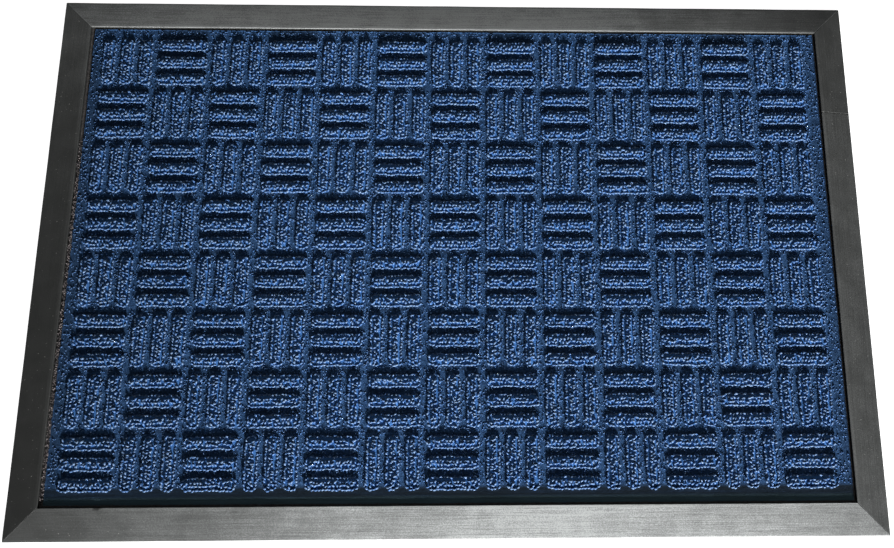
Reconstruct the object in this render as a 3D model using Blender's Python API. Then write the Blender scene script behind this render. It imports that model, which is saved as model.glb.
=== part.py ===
"""Door mat: an embossed looped-pile carpet on a rubber sheet, framed by bevelled rubber strips.

Frame: +X along the mat's long side, +Y towards its rear edge, +Z up. The origin is the middle of
the underside, which lies on the floor. Lengths are in metres.
"""

import math

import bmesh
import bpy

# Overall size, outer edge to outer edge
LENGTH = 0.914
WIDTH = 0.610

# Bevelled border strips
BORDER_WIDTH = 0.034
NOSE_HEIGHT = 0.0018
CREST_HEIGHT = 0.0070
NOSE_RADIUS = 0.0008
CREST_RADIUS = 0.0012
LAP = 0.012
SEAM_FROM_REAR = 0.135
FILLET_STEPS = 5
CREASE_ANGLE = math.radians(30)

# Sheets that lie on each other inside the border
BASE_THICKNESS = 0.0020
BASE_CORNER_RADIUS = 0.004
BACKING_THICKNESS = 0.0009
WEB_THICKNESS = 0.0011

# Where the carpet's cut edges stop short of the border's inner walls
EDGE_GROOVE = 0.0020
LEFT_GROOVE = 0.0040

# Embossed pattern: square-ish tiles of parallel bars, turned by a quarter from tile to tile
TILE_LENGTH = 0.063
TILE_WIDTH = 0.065
BARS_PER_TILE = 3
BAR_WIDTH = 0.0130
BAR_HEIGHT = 0.0034
BAR_DRAFT = 0.0006
COLUMN_CHANNEL = 0.0083
ROW_CHANNEL = 0.0096
PLAIN_MARGIN = 0.008

# Air between pieces that touch, and how deep a bar's root goes into the carpet's web
CLEARANCE = 0.0003
ROOT_DEPTH = 0.0005

# Heights that follow from the stack of sheets
BASE_TOP = BASE_THICKNESS
BACKING_BOTTOM = BASE_TOP + CLEARANCE
BACKING_TOP = BACKING_BOTTOM + BACKING_THICKNESS
WEB_BOTTOM = BACKING_TOP + CLEARANCE
WEB_TOP = WEB_BOTTOM + WEB_THICKNESS

# Half sizes of the opening inside the border
FIELD_X = LENGTH / 2 - BORDER_WIDTH
FIELD_Y = WIDTH / 2 - BORDER_WIDTH


def clear_scene():
    """Removes every object, so that the file holds the mat alone."""
    for item in list(bpy.data.objects):
        bpy.data.objects.remove(item, do_unlink=True)


def material(name, colour, roughness):
    """A Principled material of one colour."""
    made = bpy.data.materials.new(name)
    made.use_nodes = True
    shader = made.node_tree.nodes["Principled BSDF"]
    shader.inputs["Base Color"].default_value = (*colour, 1.0)
    shader.inputs["Roughness"].default_value = roughness
    shader.inputs["Metallic"].default_value = 0.0
    made.diffuse_color = (*colour, 1.0)
    return made


def add_object(name, mesh_data, finish):
    """Turns a finished bmesh into a named object with one material."""
    bmesh.ops.recalc_face_normals(mesh_data, faces=mesh_data.faces)
    mesh = bpy.data.meshes.new(name)
    mesh_data.to_mesh(mesh)
    mesh_data.free()
    mesh.materials.append(finish)
    item = bpy.data.objects.new(name, mesh)
    bpy.context.scene.collection.objects.link(item)
    return item


def fillet(before, corner, after, radius):
    """Points of the arc of the given radius that rounds the corner between two straight sides."""
    to_before = (before[0] - corner[0], before[1] - corner[1])
    to_after = (after[0] - corner[0], after[1] - corner[1])
    start_angle = math.atan2(to_before[1], to_before[0])
    turn = math.atan2(to_after[1], to_after[0]) - start_angle
    turn = (turn + math.pi) % math.tau - math.pi
    middle_angle = start_angle + turn / 2
    reach = radius / math.sin(abs(turn) / 2)
    centre = (
        corner[0] + reach * math.cos(middle_angle),
        corner[1] + reach * math.sin(middle_angle),
    )
    sweep = math.pi - abs(turn)
    first = middle_angle + math.pi + math.copysign(sweep / 2, turn)
    points = []
    for step in range(FILLET_STEPS + 1):
        angle = first - math.copysign(sweep, turn) * step / FILLET_STEPS
        points.append((centre[0] + radius * math.cos(angle), centre[1] + radius * math.sin(angle)))
    return points


def strip_outline():
    """Section of a border strip as (distance in from the outer edge, height).

    The top slopes up from the nose to the crest, the inner side drops to the base sheet, and the
    underside is stepped so that the strip laps over the sheet's edge.
    """
    step_in = BORDER_WIDTH - LAP
    toe = (0.0, 0.0)
    nose = (0.0, NOSE_HEIGHT)
    crest = (BORDER_WIDTH, CREST_HEIGHT)
    wall_foot = (BORDER_WIDTH, BASE_TOP + CLEARANCE)
    step_top = (step_in, BASE_TOP + CLEARANCE)
    step_foot = (step_in, 0.0)
    nose_arc = fillet(toe, nose, crest, NOSE_RADIUS)
    crest_arc = fillet(nose, crest, wall_foot, CREST_RADIUS)
    return [toe, *nose_arc, *crest_arc, wall_foot, step_top, step_foot]


def mitre_end(run):
    """End of a strip cut at 45 degrees, for a strip whose outer edge is 2 * run long."""
    half_gap = CLEARANCE / 2 * math.sqrt(2)
    return lambda inward: run - inward - half_gap


def square_end(place):
    """End of a strip cut square at a place along it, short of it by half a clearance."""
    return lambda inward: place - CLEARANCE / 2


def border_strip(name, finish, start, end, place):
    """One border strip: its section at both ends, bridged along its length.

    start and end give how far the strip reaches to either side of the mat's middle at each
    distance in from the outer edge; place turns (along, inward, height) into a point of the mat.
    """
    outline = strip_outline()
    strip = bmesh.new()
    near = [strip.verts.new(place(-start(inward), inward, height)) for inward, height in outline]
    far = [strip.verts.new(place(end(inward), inward, height)) for inward, height in outline]
    caps = (strip.faces.new(near), strip.faces.new(far))
    bmesh.ops.bridge_loops(strip, edges=[edge for cap in caps for edge in cap.edges])
    item = add_object(name, strip, finish)
    item.data.shade_smooth()
    item.data.set_sharp_from_angle(angle=CREASE_ANGLE)
    return item


def build_border(finish):
    """The four sides of the border; the right side is made of two lengths with a butt seam."""
    half_length = LENGTH / 2
    half_width = WIDTH / 2
    seam = half_width - SEAM_FROM_REAR
    long_mitre = mitre_end(half_length)
    short_mitre = mitre_end(half_width)

    def front(along, inward, height):
        return (along, inward - half_width, height)

    def rear(along, inward, height):
        return (along, half_width - inward, height)

    def left(along, inward, height):
        return (inward - half_length, along, height)

    def right(along, inward, height):
        return (half_length - inward, along, height)

    border_strip("border_front", finish, long_mitre, long_mitre, front)
    border_strip("border_rear", finish, long_mitre, long_mitre, rear)
    border_strip("border_left", finish, short_mitre, short_mitre, left)
    border_strip("border_right_front", finish, short_mitre, square_end(seam), right)
    border_strip("border_right_rear", finish, square_end(-seam), short_mitre, right)


def plate(low, high):
    """A closed box between two opposite corners, as a bmesh."""
    made = bmesh.new()
    bmesh.ops.create_cube(made, size=1.0)
    for vert in made.verts:
        for axis in range(3):
            vert.co[axis] = high[axis] if vert.co[axis] > 0 else low[axis]
    return made


def build_base(finish):
    """The rubber sheet on the floor, which ends under the border strips."""
    half_x = LENGTH / 2 - (BORDER_WIDTH - LAP) - CLEARANCE
    half_y = WIDTH / 2 - (BORDER_WIDTH - LAP) - CLEARANCE
    sheet = plate((-half_x, -half_y, 0.0), (half_x, half_y, BASE_TOP))
    upright = [edge for edge in sheet.edges if edge.verts[0].co.xy == edge.verts[1].co.xy]
    bmesh.ops.bevel(
        sheet,
        geom=upright,
        affect="EDGES",
        offset=BASE_CORNER_RADIUS,
        segments=FILLET_STEPS,
        profile=0.5,
    )
    return add_object("rubber_base", sheet, finish)


def build_backing(finish):
    """The latex coat between the rubber sheet and the carpet, filling the opening of the border."""
    half_x = FIELD_X - CLEARANCE
    half_y = FIELD_Y - CLEARANCE
    sheet = plate((-half_x, -half_y, BACKING_BOTTOM), (half_x, half_y, BACKING_TOP))
    return add_object("carpet_backing", sheet, finish)


def tile_counts():
    """How many whole tiles fit inside the border, along X and along Y."""
    columns = int((2 * FIELD_X - 2 * PLAIN_MARGIN) / TILE_LENGTH)
    rows = int((2 * FIELD_Y - 2 * PLAIN_MARGIN) / TILE_WIDTH)
    return columns, rows


def tile_bars(column, row, columns, rows):
    """Centre and plan size of each bar of a tile; column 0 is the left one, row 0 the rear one."""
    centre_x = (column - (columns - 1) / 2) * TILE_LENGTH
    centre_y = ((rows - 1) / 2 - row) * TILE_WIDTH
    span_x = TILE_LENGTH - COLUMN_CHANNEL
    span_y = TILE_WIDTH - ROW_CHANNEL
    lengthwise = (column + row) % 2 == 1
    across = span_y if lengthwise else span_x
    pitch = (across - BAR_WIDTH) / (BARS_PER_TILE - 1)
    bars = []
    for index in range(BARS_PER_TILE):
        offset = index * pitch - (across - BAR_WIDTH) / 2
        if lengthwise:
            bars.append((centre_x, centre_y + offset, span_x, BAR_WIDTH))
        else:
            bars.append((centre_x + offset, centre_y, BAR_WIDTH, span_y))
    return bars


def add_bar(mesh_data, bar):
    """One raised bar: a block rooted in the web, with walls that lean in by the draft."""
    centre_x, centre_y, size_x, size_y = bar
    made = bmesh.ops.create_cube(mesh_data, size=2.0)
    for vert in made["verts"]:
        side_x, side_y, level = vert.co
        inset = BAR_DRAFT if level > 0 else 0.0
        vert.co.x = centre_x + side_x * (size_x / 2 - inset)
        vert.co.y = centre_y + side_y * (size_y / 2 - inset)
        vert.co.z = WEB_TOP + (BAR_HEIGHT if level > 0 else -ROOT_DEPTH)


def build_carpet(finish):
    """The carpet: a thin felted web with every raised bar grown out of it."""
    low = (LEFT_GROOVE - FIELD_X, EDGE_GROOVE - FIELD_Y, WEB_BOTTOM)
    high = (FIELD_X - EDGE_GROOVE, FIELD_Y - EDGE_GROOVE, WEB_TOP)
    carpet = add_object("carpet", plate(low, high), finish)
    columns, rows = tile_counts()
    blocks = bmesh.new()
    for column in range(columns):
        for row in range(rows):
            for bar in tile_bars(column, row, columns, rows):
                add_bar(blocks, bar)
    bars = add_object("carpet_bars_guide", blocks, finish)
    bars.hide_render = True
    bars.display_type = "WIRE"
    union = carpet.modifiers.new("bars", "BOOLEAN")
    union.operation = "UNION"
    union.solver = "EXACT"
    union.object = bars
    return carpet


def build():
    """Builds the whole mat."""
    clear_scene()
    rubber = material("border_rubber", (0.045, 0.046, 0.045), 0.62)
    base_rubber = material("base_rubber", (0.022, 0.022, 0.022), 0.75)
    latex = material("latex_backing", (0.10, 0.095, 0.09), 0.85)
    pile = material("blue_pile", (0.018, 0.075, 0.235), 0.92)
    build_border(rubber)
    build_base(base_rubber)
    build_backing(latex)
    build_carpet(pile)


build()
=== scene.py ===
"""The visual model of a door mat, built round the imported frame.

The mat is a blue looped-pile carpet with raised bars in a basket-weave pattern, set in a black rubber
border whose four sides slope down to the floor. Lengths are in metres, +X runs along the long side to
the right, +Y to the rear edge and +Z up.
"""

import logging
import math
from dataclasses import dataclass
from enum import Enum

import bpy
import numpy as np
from mathutils import Matrix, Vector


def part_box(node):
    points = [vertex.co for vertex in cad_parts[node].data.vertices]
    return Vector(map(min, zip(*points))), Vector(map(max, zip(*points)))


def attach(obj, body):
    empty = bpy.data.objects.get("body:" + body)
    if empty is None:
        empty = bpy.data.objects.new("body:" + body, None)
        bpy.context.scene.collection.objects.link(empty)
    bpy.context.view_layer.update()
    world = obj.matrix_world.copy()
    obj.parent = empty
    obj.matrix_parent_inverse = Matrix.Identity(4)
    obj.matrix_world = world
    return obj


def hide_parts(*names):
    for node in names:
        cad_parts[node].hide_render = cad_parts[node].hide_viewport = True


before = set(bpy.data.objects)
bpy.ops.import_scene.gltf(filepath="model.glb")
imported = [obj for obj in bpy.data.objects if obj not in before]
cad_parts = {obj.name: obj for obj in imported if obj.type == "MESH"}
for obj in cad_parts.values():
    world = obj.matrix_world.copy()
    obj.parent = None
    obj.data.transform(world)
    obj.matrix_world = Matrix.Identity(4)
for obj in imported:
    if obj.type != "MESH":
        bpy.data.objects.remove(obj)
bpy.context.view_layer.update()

LOG = logging.getLogger("door_mat")
MM = 0.001
BODY = "root"
FOOT_POINTS = 4

Triple = tuple[float, float, float]
Colour = Triple


class Side(Enum):
    """A side of the border: the axis that it runs along, and which way its outer edge lies."""

    FRONT = ("x", -1)
    REAR = ("x", 1)
    LEFT = ("y", -1)
    RIGHT = ("y", 1)

    @property
    def runs_along_x(self) -> bool:
        """Whether the side runs along X."""
        return self.value[0] == "x"

    @property
    def outward(self) -> int:
        """The sign of the direction from the middle of the mat to the side."""
        return self.value[1]


# ---- Meshes ----


def smooth_step(value: np.ndarray, low: float, high: float) -> np.ndarray:
    """0 below low, 1 above high, and 3t^2 - 2t^3 between them."""
    t = np.clip((value - low) / (high - low), 0.0, 1.0)
    return t * t * (3 - 2 * t)


def wander(place: np.ndarray, wavelength: float, seed: int) -> np.ndarray:
    """An irregular curve between about -1 and 1: a sum of five sines of nearby lengths.

    Args:
        place: where along the curve, as any array of lengths.
        wavelength: the middle one of the five lengths.
        seed: sets the sines' phases.

    Returns:
        The curve's value at each place.
    """
    draw = np.random.default_rng(seed)
    lengths = wavelength * np.array([0.45, 0.7, 1.0, 1.6, 2.7])
    phases = draw.uniform(0, 2 * math.pi, lengths.size)
    waves = np.sin(2 * math.pi * np.asarray(place)[..., None] / lengths + phases)
    return waves.sum(axis=-1) / math.sqrt(lengths.size * 2)


def grid_quads(rows: int, columns: int, around: bool = False) -> np.ndarray:
    """The four corners of every cell of a grid of points numbered row by row.

    Args:
        rows: how many rows of points there are.
        columns: how many points each row has.
        around: whether the last point of a row joins its first.

    Returns:
        An array of four point numbers for each cell.
    """
    row, column = np.meshgrid(
        np.arange(rows - 1), np.arange(columns if around else columns - 1), indexing="ij"
    )
    following = (column + 1) % columns
    cells = [
        row * columns + column,
        row * columns + following,
        (row + 1) * columns + following,
        (row + 1) * columns + column,
    ]
    return np.stack(cells, axis=-1).reshape(-1, 4)


def enclosed_volume(points: np.ndarray, faces: np.ndarray) -> float:
    """Six times the signed volume under some faces, one in each row, each cut into a fan."""
    first, second, third = points[faces[:, :1]], points[faces[:, 1:-1]], points[faces[:, 2:]]
    return float((first * np.cross(second, third)).sum())


def add_mesh(
    name: str, points: np.ndarray, cells: np.ndarray, lids: tuple[np.ndarray, ...] = ()
) -> bpy.types.Object:
    """A smooth closed mesh object at the origin, with its faces turned outwards.

    Args:
        name: the object's name.
        points: the vertices, three numbers each.
        cells: the vertex numbers of each face, with the same number of corners in each.
        lids: further faces with any number of corners, as vertex numbers.

    Returns:
        The new object.
    """
    counts = np.append(np.full(len(cells), cells.shape[1]), [len(lid) for lid in lids]).astype(np.int64)
    corners = np.concatenate([cells.ravel(), *lids]).astype(np.int32)
    starts = (np.cumsum(counts) - counts).astype(np.int32)
    if sum(enclosed_volume(points, faces) for faces in (cells, *[lid[None] for lid in lids])) < 0:
        corners = np.concatenate([cells[:, ::-1].ravel(), *[lid[::-1] for lid in lids]])
    mesh = bpy.data.meshes.new(name)
    mesh.vertices.add(len(points))
    mesh.vertices.foreach_set("co", points.astype(np.float32).ravel())
    mesh.loops.add(corners.size)
    mesh.loops.foreach_set("vertex_index", corners.astype(np.int32))
    mesh.polygons.add(counts.size)
    mesh.polygons.foreach_set("loop_start", starts)
    mesh.update(calc_edges=True)
    mesh.shade_smooth()
    piece = bpy.data.objects.new(name, mesh)
    bpy.context.scene.collection.objects.link(piece)
    return piece


def add_copies(name: str, points: np.ndarray, cells: np.ndarray) -> bpy.types.Object:
    """One mesh of many small shapes that are built alike.

    Args:
        name: the object's name.
        points: a row for each shape, with its vertices.
        cells: the faces of one shape, as its own vertex numbers.

    Returns:
        The new object.
    """
    count, size = points.shape[:2]
    faces = (np.arange(count)[:, None, None] * size + cells).reshape(-1, cells.shape[1])
    return add_mesh(name, points.reshape(-1, 3), faces)


def add_values(piece: bpy.types.Object, name: str, values: np.ndarray) -> None:
    """Stores one number for each vertex under a name, for a finish to read."""
    layer = piece.data.attributes.new(name, "FLOAT", "POINT")
    layer.data.foreach_set("value", values.astype(np.float32).ravel())


def add_plan_map(piece: bpy.types.Object) -> None:
    """A UV map that looks straight down: each corner's X and Y as shares of the piece's own box.

    Args:
        piece: the piece that gets the map.
    """
    mesh = piece.data
    points = np.empty(len(mesh.vertices) * 3, np.float32)
    mesh.vertices.foreach_get("co", points)
    plan = points.reshape(-1, 3)[:, :2]
    corner = np.empty(len(mesh.loops), np.int32)
    mesh.loops.foreach_get("vertex_index", corner)
    low, high = plan.min(axis=0), plan.max(axis=0)
    layer = mesh.uv_layers.new(name="OFBake")
    layer.data.foreach_set("uv", ((plan - low) / (high - low))[corner].ravel())


def circle(turn: np.ndarray) -> np.ndarray:
    """The points of a unit circle at some angles: a cosine and a sine each."""
    return np.stack([np.cos(turn), np.sin(turn)], axis=-1)


def swept(turn: np.ndarray, first: np.ndarray, second: np.ndarray) -> np.ndarray:
    """Directions between two upright to each other: at angle 0 the first, at a quarter turn the second."""
    return np.cos(turn)[..., None] * first + np.sin(turn)[..., None] * second


def unit(vectors: np.ndarray) -> np.ndarray:
    """Each row's vector, made one long."""
    return vectors / np.linalg.norm(vectors, axis=1, keepdims=True)


def spun(shapes: np.ndarray, turn: np.ndarray) -> np.ndarray:
    """The shapes, each turned about the upright by its own angle.

    Args:
        shapes: the points of each shape, about its own middle.
        turn: an angle for each shape.

    Returns:
        The turned points.
    """
    cosine, sine = np.cos(turn)[:, None], np.sin(turn)[:, None]
    x, y, z = np.moveaxis(shapes, -1, 0)
    return np.stack([x * cosine - y * sine, x * sine + y * cosine, z], axis=-1)


def finish_piece(piece: bpy.types.Object, material: bpy.types.Material) -> None:
    """Dresses a new piece, and sets its body.

    Args:
        piece: the new piece.
        material: its finish.
    """
    piece.data.materials.append(material)
    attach(piece, BODY)
    LOG.info("%s: %d vertices, %d faces", piece.name, len(piece.data.vertices), len(piece.data.polygons))


# ---- Shader maths ----


class Value:
    """A shader socket that takes part in Python arithmetic, by adding Math nodes."""

    def __init__(self, graph: "Graph", socket: bpy.types.NodeSocket) -> None:
        """Wraps an output socket of one of the graph's nodes."""
        self.graph = graph
        self.socket = socket

    def _math(self, operation: str, first: "Value | float", second: "Value | float") -> "Value":
        """Adds a Math node for two numbers."""
        return self.graph.node("ShaderNodeMath", {"operation": operation}, {0: first, 1: second})

    def __add__(self, other: "Value | float") -> "Value":
        """The sum."""
        return self._math("ADD", self, other)

    def __radd__(self, other: float) -> "Value":
        """The sum, with the number first."""
        return self._math("ADD", other, self)

    def __mul__(self, other: "Value | float") -> "Value":
        """The product."""
        return self._math("MULTIPLY", self, other)

    def __rmul__(self, other: float) -> "Value":
        """The product, with the number first."""
        return self._math("MULTIPLY", other, self)

    def output(self, name: str) -> "Value":
        """Another output of the same node."""
        return Value(self.graph, self.socket.node.outputs[name])


class Graph:
    """The nodes of one material."""

    def __init__(self, name: str) -> None:
        """Makes the material, with its Principled shader.

        Args:
            name: the material's name.
        """
        self.material = bpy.data.materials.new(name)
        self.material.use_nodes = True
        self.tree = self.material.node_tree
        self.shader = self.tree.nodes["Principled BSDF"]

    def feed(self, socket: bpy.types.NodeSocket, value: "Value | float | tuple") -> None:
        """Links a value to a socket, or sets the socket to a number or a tuple.

        Args:
            socket: the input.
            value: what it gets; three numbers for a colour get an alpha of 1.
        """
        if isinstance(value, Value):
            self.tree.links.new(value.socket, socket)
        elif isinstance(value, tuple) and len(value) == 3 and socket.type == "RGBA":
            socket.default_value = (*value, 1.0)
        else:
            socket.default_value = value

    def node(
        self, kind: str, settings: dict | None = None, inputs: dict | None = None, output: int = 0
    ) -> Value:
        """Adds any node.

        Args:
            kind: the node's type.
            settings: its own settings, set first.
            inputs: what its sockets get, by name or number.
            output: which output to hand back.

        Returns:
            The node's output.
        """
        made = self.tree.nodes.new(kind)
        for name, setting in (settings or {}).items():
            setattr(made, name, setting)
        for name, value in (inputs or {}).items():
            self.feed(made.inputs[name], value)
        return Value(self, made.outputs[output])

    def place(self, scale: Triple) -> Value:
        """The point on the object, in metres, stretched by scale."""
        spot = self.node("ShaderNodeTexCoord").output("Object")
        return self.node("ShaderNodeMapping", {}, {"Vector": spot, "Scale": scale})

    def axis(self, name: str) -> Value:
        """One coordinate of the point on the object, in metres."""
        spot = self.node("ShaderNodeTexCoord").output("Object")
        return self.node("ShaderNodeSeparateXYZ", {}, {"Vector": spot}).output(name)

    def upward(self) -> Value:
        """How far the surface faces up: 1 where it is level, 0 where it is upright."""
        facing = self.node("ShaderNodeNewGeometry").output("Normal")
        return self.node("ShaderNodeSeparateXYZ", {}, {"Vector": facing}).output("Z")

    def shaded_leftward(self, colour: Value) -> Value:
        """A carpet colour with painted shade: a little darker towards the mat's left end, away from the low
        light at the front right.
        """
        share = self.between(self.axis("X"), -0.42, -0.08, 0.27, 0.0)
        return self.mix(share, colour, (0.002, 0.012, 0.030))

    def attribute(self, name: str) -> Value:
        """A number stored on the mesh."""
        return self.node("ShaderNodeAttribute", {"attribute_name": name}).output("Fac")

    def noise(self, spacing: float | Triple, detail: float = 2.0, harsh: float = 0.5) -> Value:
        """Cloudy noise from 0 to 1.

        Args:
            spacing: the blotches' spacing in metres, the same along all axes or one for each.
            detail: how many finer layers there are.
            harsh: how strong the finer layers are.

        Returns:
            The noise.
        """
        sizes = spacing if isinstance(spacing, tuple) else (spacing,) * 3
        where = self.place(tuple(1 / size for size in sizes))
        inputs = {"Vector": where, "Scale": 1.0, "Detail": detail, "Roughness": harsh}
        return self.node("ShaderNodeTexNoise", {}, inputs)

    def between(self, value: Value, low: float, high: float, start: float = 0.0, end: float = 1.0) -> Value:
        """Eases from start to end as value goes from low to high, and stays level beyond them."""
        inputs = {"Value": value, 1: low, 2: high, 3: start, 4: end}
        return self.node("ShaderNodeMapRange", {"interpolation_type": "SMOOTHSTEP"}, inputs)

    def mix(self, share: Value | float, first: Value | Colour, second: Value | Colour) -> Value:
        """Blends two colours.

        Args:
            share: how much of the second there is.
            first: the colour at 0.
            second: the colour at 1.

        Returns:
            The blend.
        """
        return self.node(
            "ShaderNodeMix", {"data_type": "RGBA"}, {0: share, 6: first, 7: second}, output=2
        )

    def bump(self, height: Value, depth: float, strength: float = 1.0) -> Value:
        """The normal of a relief.

        Args:
            height: the relief, from 0 to 1.
            depth: how deep it is, in metres.
            strength: how much of it shows.

        Returns:
            The normal.
        """
        return self.node(
            "ShaderNodeBump", {}, {"Height": height, "Distance": depth, "Strength": strength}
        )

    def dress(self, **sockets: "Value | float | tuple") -> bpy.types.Material:
        """Feeds the Principled shader.

        Args:
            sockets: what each input gets, under its name with _ for each space.

        Returns:
            The material.
        """
        for name, value in sockets.items():
            self.feed(self.shader.inputs[name.replace("_", " ")], value)
        return self.material


@dataclass(frozen=True)
class RubberFinish:
    """Black rubber under a thin pale film, brushed along the strip. The film is partly dust and partly
    painted light: a painted sheen on the slopes that face the low light, and painted shade on those
    turned from it.

    The film's thickness is listed at equal steps from the strip's low end to its high end. It is a
    little thicker on the crest, from a set depth below its top: partly wear, partly a painted
    highlight along the crest's lip. It is thicker along the cut ends too, partly wear and partly a
    painted highlight along the mitres; a nick has none.
    """

    name: str
    side: Side
    ends: tuple[float, float]
    crest: float
    dust_and_sheen: tuple[float, ...]
    cut_wear_and_highlight: float
    rubber: Colour = (0.020, 0.021, 0.020)
    # The film's pale colour: dust, and a painted sheen where the film lies thicker on the lit slopes.
    dust_and_painted_light: Colour = (0.40, 0.415, 0.412)
    crest_wear_and_highlight_from: float = 0.60 * MM
    crest_wear_and_highlight_full: float = 0.35 * MM
    crest_wear_and_highlight_share: float = 0.16
    crest_wear_and_highlight_amount: float = 0.025

    def dust_and_sheen_along(self, graph: Graph, along: Value) -> Value:
        """The film's thickness, dust and painted sheen together: it eases from each step's value to the
        next.

        Args:
            graph: the material's nodes.
            along: the place along the strip.

        Returns:
            The thickness, from 0 to 1.
        """
        places = np.linspace(*self.ends, len(self.dust_and_sheen)).tolist()
        dust_and_sheen = graph.between(along, places[0], places[1], self.dust_and_sheen[0], self.dust_and_sheen[1])
        for step in range(1, len(self.dust_and_sheen) - 1):
            change = self.dust_and_sheen[step + 1] - self.dust_and_sheen[step]
            dust_and_sheen = dust_and_sheen + graph.between(along, places[step], places[step + 1], 0.0, change)
        return dust_and_sheen

    def build(self) -> bpy.types.Material:
        """The rubber with its pale film of dust and painted sheen, which streaks, blotches and grain break
        up.

        Returns:
            The material.
        """
        graph = Graph(self.name)
        stretch = (0.060, 0.0007, 0.0007) if self.side.runs_along_x else (0.0007, 0.060, 0.0007)
        along = graph.axis("X" if self.side.runs_along_x else "Y")
        height = graph.axis("Z")
        streaks = graph.noise(stretch, detail=3.0, harsh=0.6)
        blotches = graph.noise(0.022, detail=3.0, harsh=0.55)
        grain = graph.noise(0.0011, detail=2.0, harsh=0.6)
        brushed = graph.between(streaks, 0.25, 0.75, 0.63, 1.37)
        cloudy = graph.between(blotches, 0.3, 0.7, 0.86, 1.14)
        speckled = graph.between(grain, 0.35, 0.7, 0.70, 1.38)
        settled = graph.between(graph.upward(), 0.55, 0.93)
        # Paler on the crest: partly wear, partly a painted highlight along the crest's lip.
        worn = graph.between(height, self.crest - self.crest_wear_and_highlight_from, self.crest - self.crest_wear_and_highlight_full)
        # Paler along the cut ends: partly wear, partly a painted highlight along the mitres; darker in the
        # nick.
        cut = graph.attribute("cut") * self.cut_wear_and_highlight
        # The film: partly dust, partly painted sheen and shade, as listed along the strip.
        dust_and_sheen = self.dust_and_sheen_along(graph, along) * (1.0 + self.crest_wear_and_highlight_share * worn)
        dust_and_sheen = dust_and_sheen + worn * self.crest_wear_and_highlight_amount + cut
        cover = dust_and_sheen * brushed * cloudy * speckled * settled
        specks = graph.between(graph.noise(0.0020, detail=1.0), 0.74, 0.79)
        base = graph.mix(cover, self.rubber, self.dust_and_painted_light)
        relief = streaks * 0.5 + grain * 0.5
        return graph.dress(
            Base_Color=graph.mix(specks * 0.35, base, (0.55, 0.55, 0.52)),
            Roughness=graph.between(blotches, 0.3, 0.7, 0.52, 0.66),
            Normal=graph.bump(relief, 0.00022, 0.8),
            Specular_IOR_Level=0.45,
        )


@dataclass(frozen=True)
class SheetFinish:
    """A dull sheet material seen at its cut edge or underneath: the latex coat or the base rubber."""

    name: str
    dark: Colour
    pale: Colour
    blotch: float
    roughness: float

    def build(self) -> bpy.types.Material:
        """Two tones blended by a cloudy noise and a fine grain.

        Returns:
            The material.
        """
        graph = Graph(self.name)
        cloud = graph.noise(self.blotch, detail=4.0, harsh=0.65)
        grain = graph.noise(0.0006, detail=2.0)
        share = graph.between(cloud * 0.6 + grain * 0.4, 0.35, 0.68)
        return graph.dress(
            Base_Color=graph.mix(share, self.dark, self.pale),
            Roughness=graph.between(grain, 0.3, 0.7, self.roughness - 0.08, self.roughness + 0.08),
            Normal=graph.bump(cloud * 0.5 + grain * 0.5, 0.0003, 0.9),
        )


@dataclass(frozen=True)
class FeltFinish:
    """The carpet's needled felt ground: matted blue fibres, darker in the pits between them.

    The mesh says where the felt is raised into a bar's ridge, which is painted a brighter blue as
    painted light for the light bounced between the loops; where it is darker, along the margins and,
    as painted shade, in the gaps between bars that run along X; and where a paler tone is painted
    along the front edge as painted light, over the shadow that the border's crest casts there.
    """

    name: str
    pit: Colour = (0.009, 0.033, 0.092)
    fibre: Colour = (0.054, 0.128, 0.280)
    # Painted light: the felt under the loops is a brighter blue, for light bounced between the loops onto
    # the shaded ridge.
    ridge: Colour = (0.055, 0.165, 0.420)
    # The dark tone of the margins, also painted as shade into the gaps between bars that run along X.
    dark_tone_and_shade_colour: Colour = (0.0065, 0.0115, 0.017)
    # Painted light: a paler tone that lifts the crest's shadow along the front edge.
    painted_light_tone: Colour = (0.068, 0.118, 0.136)

    def build(self) -> bpy.types.Material:
        """The felt blended from pit to fibre, then its ridges' painted light, then the dark tone and
        painted shade, with the painted light along the front edge on top.

        Returns:
            The material.
        """
        graph = Graph(self.name)
        matted = graph.noise(0.0011, detail=4.0, harsh=0.7)
        tufts = graph.noise(0.0032, detail=2.0)
        worn = graph.noise(0.045, detail=2.0)
        share = graph.between(matted * 0.65 + tufts * 0.35, 0.38, 0.64)
        tone = graph.between(worn, 0.3, 0.7, 0.82, 1.0)
        felt = graph.mix(share * tone, self.pit, self.fibre)
        # Painted light: a brighter blue where the ground rises under the loops.
        ground = graph.mix(graph.attribute("raised"), felt, self.ridge)
        wiped = graph.noise((0.050, 0.0012, 0.01), detail=2.0)
        # Painted light along the front edge, over the shadow of the border's crest.
        dust_and_painted_light = graph.attribute("dust_and_painted_light") * graph.between(wiped, 0.3, 0.7, 0.7, 1.0)
        dark_tone_with_painted_light = graph.mix(dust_and_painted_light, self.dark_tone_and_shade_colour, self.painted_light_tone)
        # Dark tone along the margins, and painted shade in the gaps between bars that run along X.
        dark_tone_and_shade = graph.attribute("dark_tone_and_shade") * graph.between(wiped, 0.35, 0.75, 0.99, 0.88)
        return graph.dress(
            # Painted shade: a little darker towards the mat's left end.
            Base_Color=graph.shaded_leftward(graph.mix(dark_tone_and_shade, ground, dark_tone_with_painted_light)),
            Roughness=graph.between(matted, 0.3, 0.7, 0.82, 0.97),
            Normal=graph.bump(matted * 0.6 + tufts * 0.4, 0.0007, 1.0),
            Specular_IOR_Level=0.12,
        )


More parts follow.
